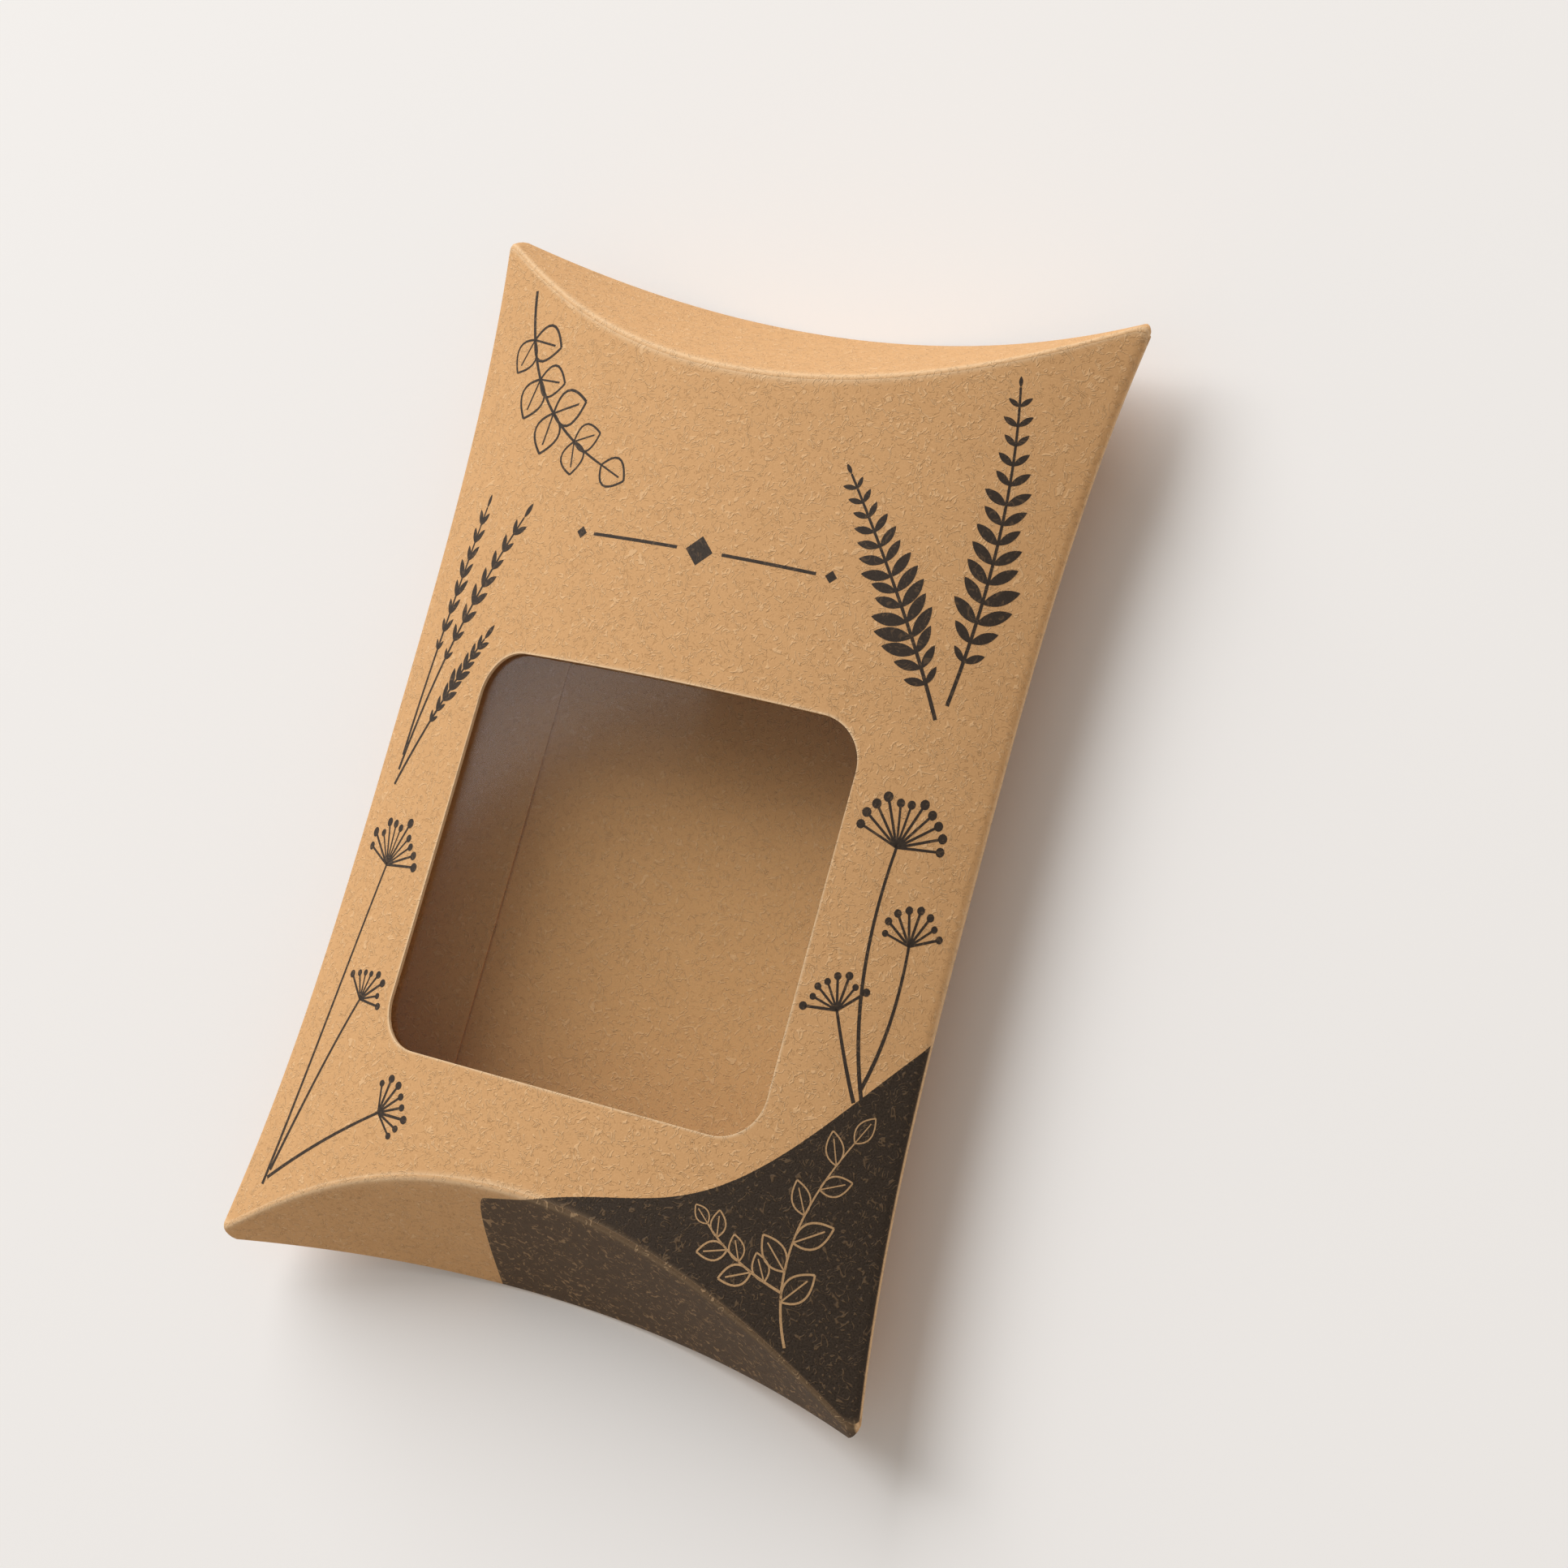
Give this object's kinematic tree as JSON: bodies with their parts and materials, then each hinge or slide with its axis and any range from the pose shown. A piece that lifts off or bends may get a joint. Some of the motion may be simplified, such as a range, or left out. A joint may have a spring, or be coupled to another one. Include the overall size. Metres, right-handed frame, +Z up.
{
  "type": "pillow box",
  "caption": "Kraft board pillow box with bowed panels, a rounded film window in the front, concave end flaps on curved creases, and a glued side seam; it opens at both ends.",
  "frame": {"origin": "centre of the box's footprint, on the surface that the back panel's crown rests on", "axes": "+Z up out of the front panel with the window, +Y along the length towards the top end, X across the width"},
  "size_m": [0.0932, 0.1386, 0.021],
  "materials": {
    "kraft_printed": "uncoated brown kraft board with fine fibre mottling and dark ink",
    "kraft_plain": "uncoated brown kraft board with fine fibre mottling",
    "clear_film": "clear glossy film",
    "adhesive": "dried clear adhesive"
  },
  "bodies": {
    "sleeve": {"front_panel": "kraft_printed", "back_panel": "kraft_plain", "seam_tab": "kraft_plain", "seam_glue": "adhesive", "window_glue": "adhesive", "window_film": "clear_film"},
    "top_outer": {"top_outer_flap": "kraft_printed"},
    "top_inner": {"top_inner_flap": "kraft_plain"},
    "bottom_outer": {"bottom_outer_flap": "kraft_printed"},
    "bottom_inner": {"bottom_inner_flap": "kraft_plain"}
  },
  "joints": [
    {"name": "top_outer_crease", "type": "hinge", "parent": "sleeve", "child": "top_outer", "pos_m": [0, 0.05294, 0.021], "axis": [1, 0, 0], "range_deg": [0, 90]},
    {"name": "top_inner_crease", "type": "hinge", "parent": "sleeve", "child": "top_inner", "pos_m": [0, 0.06421, 0], "axis": [-1, 0, 0], "range_deg": [0, 90]},
    {"name": "bottom_outer_crease", "type": "hinge", "parent": "sleeve", "child": "bottom_outer", "pos_m": [0, -0.05294, 0.021], "axis": [-1, 0, 0], "range_deg": [0, 90]},
    {"name": "bottom_inner_crease", "type": "hinge", "parent": "sleeve", "child": "bottom_inner", "pos_m": [0, -0.06421, 0], "axis": [1, 0, 0], "range_deg": [0, 90]}
  ],
  "couplings": [
    {"joint": "top_inner_crease", "follows": "top_outer_crease", "ratio": 1},
    {"joint": "bottom_inner_crease", "follows": "bottom_outer_crease", "ratio": 1}
  ]
}
